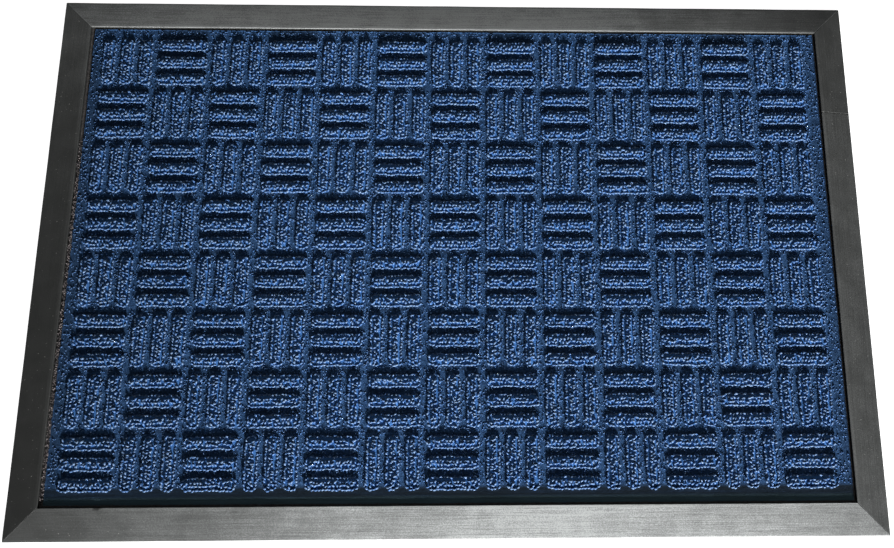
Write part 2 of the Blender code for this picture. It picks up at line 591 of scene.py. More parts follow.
@dataclass(frozen=True)
class YarnFinish:
    """Blue synthetic yarn, a little glossy, and paler on the crown; its strong blue at the root is
    painted light, for light bounced between the fibres into the shaded pits.
    """

    name: str
    # Painted light: a brighter, stronger blue at the loops' feet, for light bounced between the fibres into
    # the shaded pits.
    root: Colour = (0.042, 0.135, 0.350)
    deep: Colour = (0.032, 0.095, 0.245)
    pale: Colour = (0.092, 0.160, 0.278)

    def build(self) -> bpy.types.Material:
        """The yarn blended from the root's painted light to the crown, with a tint for each loop.

        Returns:
            The material.
        """
        graph = Graph(self.name)
        tint = graph.attribute("tint")
        lift = graph.attribute("lift")
        fibres = graph.noise((0.0005, 0.0005, 0.0012), detail=2.0, harsh=0.6)
        shade = graph.between(tint * 0.7 + fibres * 0.3, 0.15, 0.85)
        yarn = graph.mix(shade, self.deep, self.pale)
        return graph.dress(
            # The root's stronger blue is painted light; the yarn is also painted a little darker towards the
            # mat's left end.
            Base_Color=graph.shaded_leftward(graph.mix(graph.between(lift, 0.15, 0.8), self.root, yarn)),
            Roughness=graph.between(fibres, 0.3, 0.7, 0.42, 0.60),
            Normal=graph.bump(fibres, 0.0002, 0.6),
            Specular_IOR_Level=0.5,
        )


@dataclass(frozen=True)
class CrumbFinish:
    """Crumbs of trimmed backing and lint, from dark grey to a pale pinkish grey."""

    name: str

    def build(self) -> bpy.types.Material:
        """A tint for each crumb, blended through three tones.

        Returns:
            The material.
        """
        graph = Graph(self.name)
        tint = graph.attribute("tint")
        grain = graph.noise(0.0004, detail=2.0)
        grey = graph.mix(graph.between(tint, 0.0, 0.7), (0.03, 0.03, 0.035), (0.24, 0.21, 0.21))
        return graph.dress(
            Base_Color=graph.mix(graph.between(tint, 0.75, 1.0), grey, (0.52, 0.43, 0.42)),
            Roughness=graph.between(grain, 0.3, 0.7, 0.75, 0.95),
            Normal=graph.bump(grain, 0.0002, 0.8),
        )


# ---- The border ----


@dataclass
class BorderStrip:
    """One length of the sloping rubber edge, mitred or cut square at each end."""

    node: str
    side: Side
    mitre_low: bool
    mitre_high: bool
    # The film along the strip: partly dust, partly painted sheen and shade.
    dust_and_sheen: tuple[float, ...]
    seed: int
    # Paler cut ends: partly wear, partly a painted highlight along the mitres.
    cut_wear_and_highlight: float = 0.015
    nicks: tuple[float, ...] = ()
    nick_depth: float = 0.3 * MM
    nick_reach: float = 3.2 * MM
    nick_darkening: float = 1.6
    toe_height: float = 0.5 * MM
    nose_height: float = 1.8 * MM
    nose_radius: float = 0.8 * MM
    crest_radius: float = 0.75 * MM
    lap: float = 12.0 * MM
    foot_height: float = 2.3 * MM
    station_step: float = 3.5 * MM
    end_round: float = 0.45 * MM
    end_sink: float = 0.7
    crown: float = 0.12 * MM
    sway: float = 0.22 * MM
    ripple: float = 0.07 * MM

    def section(self, width: float, crest: float) -> np.ndarray:
        """The strip's outline: a nose arc, a slope, a crest arc, then the inner wall and the foot.

        The slope is a straight line from the nose to the crest, crowned by a shallow half sine wave.

        Args:
            width: from the outer edge to the inner wall.
            crest: the top of the crest.

        Returns:
            Points of (distance in from the outer edge, height), anticlockwise from the toe.
        """
        tilt = math.atan2(crest - self.nose_height, width - self.crest_radius)
        nose = circle(np.linspace(math.pi, math.pi / 2 + tilt, 6)) * self.nose_radius
        nose += (self.nose_radius, self.nose_height - self.nose_radius)
        top = circle(np.linspace(math.pi / 2 + tilt, 0.0, 8)) * self.crest_radius
        top += (width - self.crest_radius, crest - self.crest_radius)
        share = np.linspace(0.0, 1.0, 12)[1:-1, None]
        slope = nose[-1] * (1 - share) + top[0] * share
        slope[:, 1] += self.crown * np.sin(math.pi * share[:, 0])
        step_in = width - self.lap
        foot = np.array([(width, self.foot_height), (step_in, self.foot_height), (step_in, 0.0), (0.0, 0.0)])
        return np.concatenate([nose, slope, top, foot])

    def stations(self, length: float) -> np.ndarray:
        """Where the sections stand: even steps, and fine ones at the cut ends.

        Args:
            length: the strip's length.

        Returns:
            Shares of the length, lowest first, as a column.
        """
        steps = int(length / self.station_step)
        easing = np.array([0.0, 0.12, 0.45, 1.0, 2.4]) * self.end_round / length
        return np.concatenate([easing, np.linspace(0, 1, steps)[1:-1], 1 - easing[::-1]])[:, None]

    def fall(self, to_end: np.ndarray) -> np.ndarray:
        """A quarter circle's fall, from 0 at end_round from a cut end to 1 at the end."""
        return 1 - np.sqrt(np.clip(1 - (1 - np.minimum(to_end / self.end_round, 1)) ** 2, 0, 1))

    def nicked(self, along: np.ndarray, inward: np.ndarray, width: float) -> np.ndarray:
        """How deep each point lies in a nick of the crest: a bell curve along the strip.

        Args:
            along: the points' places along the strip.
            inward: how far in from the outer edge they lie.
            width: the strip's width.

        Returns:
            The depth at each point, from 0 to 1.
        """
        near_crest = smooth_step(inward, width - 3.0 * self.crest_radius, width - self.crest_radius)
        bells = [np.exp(-(((along - nick) / self.nick_reach) ** 2)) for nick in self.nicks]
        return near_crest * sum(bells, np.zeros(along.shape))

    def build(self) -> bpy.types.Object:
        """The strip, its section carried from one end to the other, with its finish.

        The section's upper side sinks a little at a cut end, which leaves a fine groove along the
        mitre. The outer edge sways and the top ripples by fractions of a millimetre.

        Returns:
            The new piece.
        """
        low, high = (np.array(corner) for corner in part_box(self.node))
        run, across = (0, 1) if self.side.runs_along_x else (1, 0)
        width, crest, length = high[across] - low[across], high[2], high[run] - low[run]
        outline = self.section(width, crest)
        ring = len(outline)
        share = self.stations(length)
        start = low[run] + (outline[:, 0] if self.mitre_low else 0.0)
        end = high[run] - (outline[:, 0] if self.mitre_high else 0.0)
        along = start * (1 - share) + end * share
        inward, height = (np.tile(column, (len(share), 1)) for column in outline.T)
        to_end = np.minimum(share, 1 - share) * length
        top_side = smooth_step(outline[None, :, 1], self.toe_height, self.nose_height)
        top_side *= np.arange(ring) < ring - FOOT_POINTS
        nicked = self.nicked(along, inward, width)
        height -= top_side * (self.fall(to_end) * self.end_round * self.end_sink)
        height += top_side * self.ripple * (wander(along, 0.09, self.seed) - 1.0)
        height -= top_side * self.nick_depth * nicked
        outer = np.clip(1 - inward / width, 0, 1)
        inward = inward + outer * self.sway * (1 + wander(along, 0.16, self.seed + 1)) * top_side
        side_place = (high if self.side.outward > 0 else low)[across]
        points = np.empty((*along.shape, 3))
        points[..., run] = along
        points[..., across] = side_place - self.side.outward * inward
        points[..., 2] = height
        quads = grid_quads(len(share), ring, around=True)
        first = np.arange(ring)
        lids = (first[::-1], first + ring * (len(share) - 1))
        piece = add_mesh(f"{self.node}_rubber", points.reshape(-1, 3), quads, lids)
        # Where the film is paler at the cut ends, partly wear and partly a painted highlight along the
        # mitres, and darker in the nick.
        near_cut = smooth_step(-to_end, -2.2 * self.end_round, -1.1 * self.end_round)
        add_values(piece, "cut", near_cut - self.nick_darkening * nicked)
        ends = (float(low[run]), float(high[run]))
        finish = RubberFinish(
            f"{self.node}_finish", self.side, ends, float(crest), self.dust_and_sheen, self.cut_wear_and_highlight
        )
        finish_piece(piece, finish.build())
        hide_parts(self.node)
        return piece


@dataclass
class Border:
    """The rubber border: four sides, the right one in two lengths that meet at a butt seam."""

    front_nick: float = -0.363

    def build(self) -> list[bpy.types.Object]:
        """Builds every strip.

        Returns:
            The strips.
        """
        # Each strip's film, low end to high end: partly dust, partly painted light; the peak along the front
        # strip paints the sheen on its slope, and the thin film on the left strip paints its shade.
        front, rear = (0.03, 0.19, 0.53, 0.80, 0.59, 0.38), (0.49, 0.85, 0.88, 0.93, 0.51, 0.19)
        left = (0.004, 0.010, 0.034, 0.098)
        right_front, right_rear = (0.143, 0.115, 0.106, 0.10), (0.070, 0.060, 0.048)
        nicks = (self.front_nick,)
        strips = (
            BorderStrip("border_front", Side.FRONT, True, True, front, 11, cut_wear_and_highlight=0.17, nicks=nicks),
            BorderStrip("border_rear", Side.REAR, True, True, rear, 12),
            BorderStrip("border_left", Side.LEFT, True, True, left, 13),
            BorderStrip("border_right_front", Side.RIGHT, True, False, right_front, 14),
            BorderStrip("border_right_rear", Side.RIGHT, False, True, right_rear, 15),
        )
        return [strip.build() for strip in strips]


# ---- The carpet ----


@dataclass(frozen=True)
class BarPattern:
    """Where the raised bars stand: tiles of three parallel bars, turned by a quarter from tile to tile."""

    columns: int = 13
    rows: int = 8
    tile_length: float = 63.0 * MM
    tile_width: float = 65.0 * MM
    column_channel: float = 8.3 * MM
    row_channel: float = 9.6 * MM
    bars_per_tile: int = 3
    bar_width: float = 13.0 * MM
    corner_radius: float = 4.2 * MM

    @property
    def span(self) -> np.ndarray:
        """A tile's block of bars, along X and Y."""
        return np.array([self.tile_length - self.column_channel, self.tile_width - self.row_channel])

    def pitch(self, lengthwise: np.ndarray) -> np.ndarray:
        """From one bar's middle to the next, for bars that run along X or along Y."""
        across = np.where(lengthwise, self.span[1], self.span[0])
        return (across - self.bar_width) / (self.bars_per_tile - 1)

    def tile_centres(self, axis: int) -> np.ndarray:
        """The middles of the tiles along X (axis 0) or Y (axis 1), lowest first."""
        count, size = ((self.columns, self.tile_length), (self.rows, self.tile_width))[axis]
        return (np.arange(count) - (count - 1) / 2) * size

    def is_lengthwise(self, column: np.ndarray, row: np.ndarray) -> np.ndarray:
        """Whether a tile's bars run along X; row 0 is the front row here."""
        return (column + row) % 2 == 0

    def bars(self, row: int) -> tuple[np.ndarray, np.ndarray]:
        """The bars of one row of tiles.

        Args:
            row: the row, counted from the front.

        Returns:
            The middle of each bar in plan, and whether it runs along X.
        """
        column, index = np.meshgrid(np.arange(self.columns), np.arange(self.bars_per_tile), indexing="ij")
        column, index = column.ravel(), index.ravel()
        lengthwise = self.is_lengthwise(column, np.full_like(column, row))
        offset = (index - (self.bars_per_tile - 1) / 2) * self.pitch(lengthwise)
        centre_x = self.tile_centres(0)[column] + np.where(lengthwise, 0.0, offset)
        centre_y = self.tile_centres(1)[row] + np.where(lengthwise, offset, 0.0)
        return np.stack([centre_x, centre_y], axis=1), lengthwise

    def in_tile(self, x: np.ndarray, y: np.ndarray) -> tuple[np.ndarray, np.ndarray, np.ndarray]:
        """Where points lie in their own tiles.

        Args:
            x: the points' X.
            y: their Y.

        Returns:
            Each point's X and Y from the middle of its tile, and whether the tile's bars run along X.
        """
        column = np.clip(np.floor(x / self.tile_length + self.columns / 2), 0, self.columns - 1).astype(int)
        row = np.clip(np.floor(y / self.tile_width + self.rows / 2), 0, self.rows - 1).astype(int)
        local_x = x - self.tile_centres(0)[column]
        local_y = y - self.tile_centres(1)[row]
        return local_x, local_y, self.is_lengthwise(column, row)

    def distance(self, x: np.ndarray, y: np.ndarray) -> np.ndarray:
        """How far outside the nearest bar's outline each point lies, in plan.

        The outline has round corners: the distance is that to a smaller rectangle, less the radius.

        Args:
            x: the points' X.
            y: their Y.

        Returns:
            The distances; negative is inside the outline.
        """
        local_x, local_y, lengthwise = self.in_tile(x, y)
        along = np.where(lengthwise, local_x, local_y)
        across = np.where(lengthwise, local_y, local_x)
        pitch = self.pitch(lengthwise)
        reach = (self.bars_per_tile - 1) / 2
        across = across - np.clip(np.round(across / pitch), -reach, reach) * pitch
        half_long = np.where(lengthwise, self.span[0], self.span[1]) / 2
        past_long = np.abs(along) - half_long + self.corner_radius
        past_wide = np.abs(across) - self.bar_width / 2 + self.corner_radius
        outside = np.hypot(np.maximum(past_long, 0), np.maximum(past_wide, 0))
        return outside + np.minimum(np.maximum(past_long, past_wide), 0) - self.corner_radius


@dataclass
class CarpetGround:
    """The felted web of the carpet, which rises into a low ridge under each bar's loops."""

    pattern: BarPattern
    web_top: float = 4.6 * MM
    ridge: float = 1.05 * MM
    ridge_run: float = 1.7 * MM
    fuzz: float = 0.10 * MM
    fray: float = 0.45 * MM
    left_fray: float = 1.0 * MM
    fray_reach: float = 6.0 * MM
    pressed: float = 0.20 * MM
    press_reach: float = 19.5 * MM
    side_reach: float = 13.0 * MM
    side_darkening: tuple[float, float] = (0.50, 0.30)
    # Painted shade: how dark the gaps between bars that run along X are painted, where the bars' shadows
    # fall.
    gap_shade: float = 0.48
    # Painted light: how far the paler tone reaches in from the front edge, over the crest's shadow.
    painted_light_reach: float = 8.8 * MM

    def lines(self, axis: int, low: float, high: float) -> np.ndarray:
        """The grid's lines along one axis: close together at the edges of the bars, wider between them.

        Args:
            axis: 0 for X, 1 for Y.
            low: the carpet's lowest edge.
            high: its highest edge.

        Returns:
            The places of the lines.
        """
        pattern = self.pattern
        pitch = float(pattern.pitch(np.array(axis == 1)))
        middles = (np.arange(pattern.bars_per_tile) - (pattern.bars_per_tile - 1) / 2) * pitch
        steps = np.array([-1.0, -0.4, 0.3]) * 1.5 * MM
        edge = pattern.bar_width / 2
        around = np.concatenate([steps + edge, -steps - edge, [-0.3 * edge, 0.3 * edge]])
        tile = np.concatenate([(middles[:, None] + around).ravel(), (middles[:-1] + middles[1:]) / 2])
        size = (pattern.tile_length, pattern.tile_width)[axis]
        tile = np.concatenate([tile, [-size / 2, size / 2 - 2.0 * MM, 2.0 * MM - size / 2]])
        inner = (pattern.tile_centres(axis)[:, None] + tile).ravel()
        margin_low = np.linspace(low, inner.min(), 8)[:-1]
        margin_high = np.linspace(inner.max(), high, 8)[1:]
        return np.unique(np.round(np.concatenate([margin_low, inner, margin_high]), 7))

    def raised_share(self, x: np.ndarray, y: np.ndarray) -> np.ndarray:
        """How far the ground has risen into a bar's ridge, from 0 at its outline to 1 inside it."""
        return smooth_step(-self.pattern.distance(x, y), 0.0, self.ridge_run)

    def pressed_share(self, y: np.ndarray) -> np.ndarray:
        """How far the carpet is pressed down, from 1 along its front margin to 0 behind it."""
        return smooth_step(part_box("carpet")[0][1] + self.press_reach - y, 0.0, 3.0 * MM)

    def dark_tone_and_shade_share(self, x: np.ndarray, y: np.ndarray) -> np.ndarray:
        """How dark the felt is painted: the front margin fully, the sides partly, and, as painted shade
        where the bars' shadows fall, the gaps between bars that run along X partly.

        Args:
            x: the points' X.
            y: their Y.

        Returns:
            The share of dark tone and painted shade at each point, from 0 to 1.
        """
        low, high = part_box("carpet")
        fade = 4.0 * MM
        left = smooth_step(low[0] + self.side_reach - x, 0.0, fade) * self.side_darkening[0]
        right = smooth_step(x - high[0] + self.side_reach, 0.0, fade) * self.side_darkening[1]
        # Painted shade in the gaps between bars that run along X, where the bars' shadows fall.
        local_x, _, lengthwise = self.pattern.in_tile(x, y)
        beside = smooth_step(self.pattern.span[0] / 2 + 0.5 * MM - np.abs(local_x), 0.0, 1.5 * MM)
        outside = smooth_step(self.pattern.distance(x, y), -0.5 * MM, 0.5 * MM)
        gap = self.gap_shade * beside * lengthwise * outside
        return np.maximum.reduce([self.pressed_share(y), left, right, gap])

    def height(self, x: np.ndarray, y: np.ndarray) -> np.ndarray:
        """The web's top, a ridge just inside each bar's outline, and a slight waviness.

        The front margin lies lower, pressed down.

        Args:
            x: the points' X.
            y: their Y.

        Returns:
            The ground's Z at each point.
        """
        waves = wander(x + 0.31 * y, 0.007, 21) * wander(y - 0.23 * x, 0.009, 22)
        level = self.web_top + self.ridge * self.raised_share(x, y) - self.pressed * self.pressed_share(y)
        return level + self.fuzz * waves

    def frayed(self, x: np.ndarray, y: np.ndarray) -> tuple[np.ndarray, np.ndarray]:
        """Draws each edge in by a wandering amount, which fades to 0 at fray_reach.

        Args:
            x: the points' X.
            y: their Y.

        Returns:
            The points' new X and Y.
        """
        low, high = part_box("carpet")
        spot = [x, y]
        edges = (
            (0, 1, low[0], self.left_fray, 0.004, 23),
            (0, -1, high[0], self.fray, 0.006, 24),
            (1, 1, low[1], self.fray, 0.006, 25),
            (1, -1, high[1], self.fray, 0.006, 26),
        )
        for axis, inward, edge, depth, wavelength, seed in edges:
            cut = depth * (0.5 + 0.5 * wander(spot[1 - axis], wavelength, seed))
            nearness = np.clip(1 - inward * (spot[axis] - edge) / self.fray_reach, 0, 1)
            spot[axis] = spot[axis] + inward * cut * nearness
        return spot[0], spot[1]

    def build(self, finish: FeltFinish) -> bpy.types.Object:
        """The ground: a height field over the carpet, with its rim closed down to a flat underside.

        The rim wanders in plan, where the carpet was cut.

        Args:
            finish: the felt.

        Returns:
            The new piece.
        """
        low, high = (np.array(corner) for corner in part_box("carpet"))
        x, y = np.meshgrid(
            self.lines(0, low[0], high[0]), self.lines(1, low[1], high[1]), indexing="ij"
        )
        height, dark_tone_and_shade = self.height(x, y), self.dark_tone_and_shade_share(x, y)
        raised = self.raised_share(x, y)
        x, y = self.frayed(x, y)
        top = np.stack([x, y, height], axis=-1)
        rows, columns = x.shape
        number = np.arange(rows * columns).reshape(rows, columns)
        rim = np.concatenate([number[:-1, 0], number[-1, :-1], number[:0:-1, -1], number[0, :0:-1]])
        below = top.reshape(-1, 3)[rim].copy()
        below[:, 2] = low[2]
        skirt = rows * columns + np.arange(len(rim))
        walls = np.stack([rim, np.roll(rim, -1), np.roll(skirt, -1), skirt], axis=1)
        cells = grid_quads(rows, columns)
        points = np.concatenate([top.reshape(-1, 3), below])
        piece = add_mesh("carpet_ground", points, np.concatenate([cells, walls[:, ::-1]]), (skirt[::-1],))
        # Dark tone along the margins, and painted shade in the gaps between bars that run along X.
        add_values(piece, "dark_tone_and_shade", np.append(dark_tone_and_shade.ravel(), dark_tone_and_shade.ravel()[rim]))
        add_values(piece, "raised", np.append(raised.ravel(), raised.ravel()[rim]))
        # Painted light: a paler tone along the front edge, over the shadow that the border's crest casts on
        # the margin.
        dust_and_painted_light = smooth_step(low[1] + self.painted_light_reach - points[:, 1], 0.0, 5.0 * MM)
        add_values(piece, "dust_and_painted_light", dust_and_painted_light)
        add_plan_map(piece)
        finish_piece(piece, finish.build())
        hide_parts("carpet")
        return piece


@dataclass
class LoopPile:
    """The loops of yarn that cover the bars: a rim of loops round each bar, and two lanes inside it."""

    pattern: BarPattern
    crown_level: float = 5.55 * MM
    rim_level: float = 4.90 * MM
    rim_inset: float = 1.45 * MM
    rim_lean: float = 0.90
    rim_spacing: float = 3.45 * MM
    rim_corner: float = 3.2 * MM
    lane_inset: float = 3.4 * MM
    lane_spacing: float = 3.90 * MM
    jitter: float = 0.58 * MM
    rim_steadiness: float = 0.55
    height_jitter: float = 0.28 * MM
    rear_drop: float = 0.28 * MM
    rear_turn: float = 0.23
    half_span: float = 1.45 * MM
    rise: float = 1.55 * MM
    yarn_radius: float = 1.22 * MM
    tilt_spread: float = 0.24
    turn_spread: float = 0.45
    size_spread: Triple = (0.12, 0.20, 0.12)
    size_limits: tuple[float, float] = (0.65, 1.35)
    thin_end: float = 0.68
    sections: int = 6
    sides: int = 6

    def rim(self, half_long: float, half_wide: float) -> tuple[np.ndarray, np.ndarray]:
        """Points at equal steps round a rectangle with round corners, along and across a bar.

        Each point of the outline is a corner's centre plus the corner radius in a direction that
        turns once round; the outline is then read at equal steps of its length.

        Args:
            half_long: half of the rectangle's length.
            half_wide: half of its width.

        Returns:
            The points, and the direction in which each faces outwards.
        """
        turn = np.linspace(0, 2 * math.pi, 161)
        facing = circle(turn)
        centre = np.sign(np.round(facing, 9)) * (half_long - self.rim_corner, half_wide - self.rim_corner)
        outline = centre + facing * self.rim_corner
        length = np.append(0, np.cumsum(np.hypot(*np.diff(outline, axis=0).T)))
        count = int(round(length[-1] / self.rim_spacing))
        steps = np.arange(count) * length[-1] / count
        places = np.stack([np.interp(steps, length, outline[:, axis]) for axis in (0, 1)], axis=1)
        return places, np.interp(steps, length, turn)

    def lanes(self, half_long: float, half_wide: float) -> np.ndarray:
        """Points in two lanes inside a bar's rim, one shifted by half a step.

        Args:
            half_long: half the length of the rim.
            half_wide: half its width.

        Returns:
            The points, along and across the bar.
        """
        reach = half_long - self.lane_inset
        count = int(round(2 * reach / self.lane_spacing)) + 1
        along = np.linspace(-reach, reach, count)
        across = np.full(count, half_wide - self.lane_inset)
        shift = 0.25 * self.lane_spacing
        return np.concatenate([
            np.stack([along + shift, across], axis=1), np.stack([along - shift, -across], axis=1)
        ])

    def spots(self, row: int, draw: np.random.Generator) -> tuple[np.ndarray, np.ndarray, np.ndarray]:
        """Where the loops of one row of tiles stand, the way that each stands up, and its bearing.

        The rim's loops lean outwards and lie along the rim, a little lower at the rear of a bar;
        those of the lanes stand upright at random bearings. Each is moved a little at random.

        Args:
            row: the row of tiles, counted from the front.
            draw: the source of random numbers.

        Returns:
            Each loop's foot, its upright, and the angle of its bearing in plan.
        """
        centres, lengthwise = self.pattern.bars(row)
        half_wide = self.pattern.bar_width / 2 - self.rim_inset
        feet, uprights, bearings = [], [], []
        for is_lengthwise in (True, False):
            half_long = self.pattern.span[0 if is_lengthwise else 1] / 2 - self.rim_inset
            rim, facing = self.rim(half_long, half_wide)
            lanes = self.lanes(half_long, half_wide)
            chosen = centres[lengthwise == is_lengthwise]
            local = np.concatenate([rim, lanes])
            shape = (len(chosen), len(local))
            leans = np.arange(len(local)) < len(rim)
            facing = np.append(facing, np.zeros(len(lanes)))
            if not is_lengthwise:
                local, facing = local[:, ::-1], math.pi / 2 - facing
            foot = np.empty((*shape, 3))
            strayed = draw.normal(0, self.jitter, (*shape, 2))
            strayed *= np.where(leans, self.rim_steadiness, 1.0)[:, None]
            foot[..., :2] = chosen[:, None] + local + strayed
            away = np.where(leans, np.maximum(np.sin(facing + self.rear_turn), 0.0), 0.0)
            foot[..., 2] = np.where(leans, self.rim_level, self.crown_level) - self.rear_drop * away
            foot[..., 2] += draw.normal(0, self.height_jitter, shape)
            lean = np.where(leans, self.rim_lean, 0.0)
            upright = np.concatenate([np.sin(lean)[:, None] * circle(facing), np.cos(lean)[:, None]], axis=1)
            loose = draw.uniform(0, math.pi, shape)
            along_rim = facing + math.pi / 2 + draw.normal(0, self.turn_spread, shape)
            feet.append(foot.reshape(-1, 3))
            uprights.append(np.broadcast_to(upright, (*shape, 3)).reshape(-1, 3))
            bearings.append(np.where(leans, along_rim, loose).ravel())
        return np.concatenate(feet), np.concatenate(uprights), np.concatenate(bearings)

    def build_row(self, row: int, material: bpy.types.Material) -> bpy.types.Object:
        """The loops of one row of tiles.

        Each loop is a half ellipse: its middle line runs from foot to foot at the loop's bearing,
        half_span out and rise up along its own upright. A ring of yarn is carried along that line,
        thickest at the crown, and closed by flat ends.

        Args:
            row: the row of tiles, counted from the front.
            material: the yarn.

        Returns:
            The new piece.
        """
        draw = np.random.default_rng(100 + row)
        foot, upright, bearing = self.spots(row, draw)
        count = len(foot)
        upright = unit(upright + draw.normal(0, self.tilt_spread, (count, 3)) * (1, 1, 0))
        across = np.append(circle(bearing), np.zeros((count, 1)), axis=1)
        across = unit(across - (upright * across).sum(axis=1, keepdims=True) * upright)
        size = draw.normal(1.0, self.size_spread, (count, 3)).clip(*self.size_limits)
        flank = np.cross(across, upright)
        turn = np.linspace(0, math.pi, self.sections)
        out = np.cos(turn) * self.half_span * size[:, :1]
        up = np.sin(turn) * self.rise * size[:, 1:2]
        line = foot[:, None] + out[..., None] * across[:, None] + up[..., None] * upright[:, None]
        radial = swept(turn, across[:, None], upright[:, None])
        girth = self.yarn_radius * size[:, 2:3] * (self.thin_end + (1 - self.thin_end) * np.sin(turn))
        corner = (np.arange(self.sides) + 0.5) * 2 * math.pi / self.sides
        ring = swept(corner, radial[:, :, None], flank[:, None, None])
        points = line[:, :, None] + girth[:, :, None, None] * ring
        per_loop = self.sections * self.sides
        tube = grid_quads(self.sections, self.sides, around=True)
        cap = np.array([(corner + 2, corner + 1, corner, 0) for corner in range(1, self.sides - 1, 2)])
        cells = np.concatenate([tube, cap, cap[:, ::-1] + per_loop - self.sides])
        piece = add_copies(f"pile_row_{row + 1}", points.reshape(count, per_loop, 3), cells)
        lift = np.broadcast_to(np.sin(turn)[None, :, None], (count, self.sections, self.sides))
        add_values(piece, "lift", lift)
        add_values(piece, "tint", np.repeat(draw.beta(2.2, 2.2, count), per_loop))
        add_plan_map(piece)
        finish_piece(piece, material)
        return piece

    def build(self, material: bpy.types.Material) -> list[bpy.types.Object]:
        """Every row of loops, in one yarn."""
        return [self.build_row(row, material) for row in range(self.pattern.rows)]


@dataclass
class FeltTufts:
    """Short matted tufts of fibre that stand up from the ground between the bars."""

    ground: CarpetGround
    count: int = 42000
    half_length: float = 1.30 * MM
    half_width: float = 0.60 * MM
    half_height: float = 0.85 * MM
    lift: float = 0.05 * MM
    clear: float = 0.2 * MM
    edge_clear: float = 1.6 * MM

    def build(self, material: bpy.types.Material) -> bpy.types.Object:
        """The tufts: long eight-sided grains, strewn at random outside the bars' outlines.

        Args:
            material: the yarn.

        Returns:
            The new piece.
        """
        draw = np.random.default_rng(61)
        low, high = (np.array(corner)[:2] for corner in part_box("carpet"))
        spot = draw.uniform(low + self.edge_clear, high - self.edge_clear, (self.count, 2))
        spot = spot[self.ground.pattern.distance(spot[:, 0], spot[:, 1]) > self.clear]
        spot = spot[draw.uniform(0, 1, len(spot)) > self.ground.pressed_share(spot[:, 1])]
        count = len(spot)
        grain = np.array([(1, 0, 0), (0, 1, 0), (-1, 0, 0), (0, -1, 0), (0, 0, 1), (0, 0, -1)], float)
        size = draw.normal(1.0, 0.28, (count, 3)).clip(0.45, 1.6)
        size *= (self.half_length, self.half_width, self.half_height)
        level = self.ground.height(*spot.T) + self.lift
        centre = np.concatenate([spot, level[:, None]], axis=1)
        turn = draw.uniform(0, math.pi, count)
        points = centre[:, None] + spun(grain * size[:, None], turn)
        sides = [(side, (side + 1) % 4) for side in range(4)]
        faces = [(*side, 4) for side in sides] + [(*side[::-1], 5) for side in sides]
        piece = add_copies("felt_tufts", points, np.array(faces))
        add_values(piece, "lift", np.tile([0.35, 0.5, 0.35, 0.5, 0.75, 0.0], count))
        add_values(piece, "tint", np.repeat(draw.beta(1.6, 2.4, count), len(grain)))
        add_plan_map(piece)
        finish_piece(piece, material)
        return piece


@dataclass
class GrooveCrumbs:
    """Crumbs of trimmed backing and lint that lie in the groove along the left edge."""

    count: int = 1700
    strewn_share: float = 0.74
    smallest: float = 0.16 * MM
    largest: float = 0.48 * MM
    level: float = 3.3 * MM
    heap: float = 1.6 * MM
    wall_clear: float = 0.25 * MM
    end_clear: float = 2.0 * MM

    def build(self, finish: CrumbFinish) -> bpy.types.Object:
        """The crumbs: small cubes, each squashed, turned about the upright and knocked out of shape.

        Args:
            finish: what the crumbs look like.

        Returns:
            The new piece.
        """
        draw = np.random.default_rng(41)
        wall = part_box("border_left")[1][0]
        low, high = (np.array(corner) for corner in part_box("carpet"))
        centre = np.empty((self.count, 3))
        centre[:, 0] = wall + self.wall_clear + draw.beta(1.3, 1.5, self.count) * (low[0] - wall)
        strewn = self.strewn_share * (high[1] - low[1])
        centre[:, 1] = low[1] + self.end_clear + draw.beta(1.0, 1.35, self.count) * strewn
        size = self.smallest + (self.largest - self.smallest) * draw.beta(1.3, 3.0, (self.count, 1))
        centre[:, 2] = self.level + size[:, 0] + draw.beta(1.2, 2.2, self.count) * self.heap
        cube = np.array([(x, y, z) for x in (-1, 1) for y in (-1, 1) for z in (-1, 1)], float)
        shape = cube * draw.uniform(0.6, 1.4, (self.count, 1, 3)) + draw.normal(0, 0.2, (self.count, 8, 3))
        turn = draw.uniform(0, math.pi, self.count)
        points = centre[:, None] + spun(shape, turn) * size[:, None]
        faces = np.array(
            [(0, 1, 3, 2), (4, 6, 7, 5), (0, 4, 5, 1), (2, 3, 7, 6), (0, 2, 6, 4), (1, 5, 7, 3)]
        )
        piece = add_copies("groove_crumbs", points, faces)
        add_values(piece, "tint", np.repeat(draw.beta(1.2, 2.0, self.count), len(cube)))
        finish_piece(piece, finish.build())
        return piece


@dataclass
class Carpet:
    """The carpet: its ground, its pile, and the crumbs beside its cut edge."""

    pattern: BarPattern

    def build(self) -> None:
        shape = CarpetGround(self.pattern)
        ground = shape.build(FeltFinish("felt_ground"))
        yarn = YarnFinish("looped_yarn").build()
        pile = LoopPile(self.pattern).build(yarn)
        tufts = FeltTufts(shape).build(yarn)
        GrooveCrumbs().build(CrumbFinish("backing_crumbs"))


@dataclass
class HiddenSheets:
    """The sheets under the carpet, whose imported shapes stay: the latex coat and the rubber base."""

    def build(self) -> None:
        """Dresses both sheets."""
        latex = SheetFinish("latex_coat", (0.016, 0.015, 0.015), (0.075, 0.068, 0.066), 0.0022, 0.85)
        rubber = SheetFinish("base_rubber", (0.014, 0.014, 0.014), (0.034, 0.034, 0.033), 0.006, 0.72)
        for node, finish in (("carpet_backing", latex), ("rubber_base", rubber)):
            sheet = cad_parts[node]
            material = finish.build()
            sheet.data.materials.clear()
            sheet.data.materials.append(material)
            LOG.info("%s: dressed as %s", node, finish.name)


# ---- The studio ----


def direction(azimuth: float, elevation: float) -> np.ndarray:
    """The unit vector towards a place in the sky, in degrees; azimuth 0 is the front, and 90 the right."""
    a, e = math.radians(azimuth), math.radians(elevation)
    return np.array([math.sin(a) * math.cos(e), -math.cos(a) * math.cos(e), math.sin(e)])


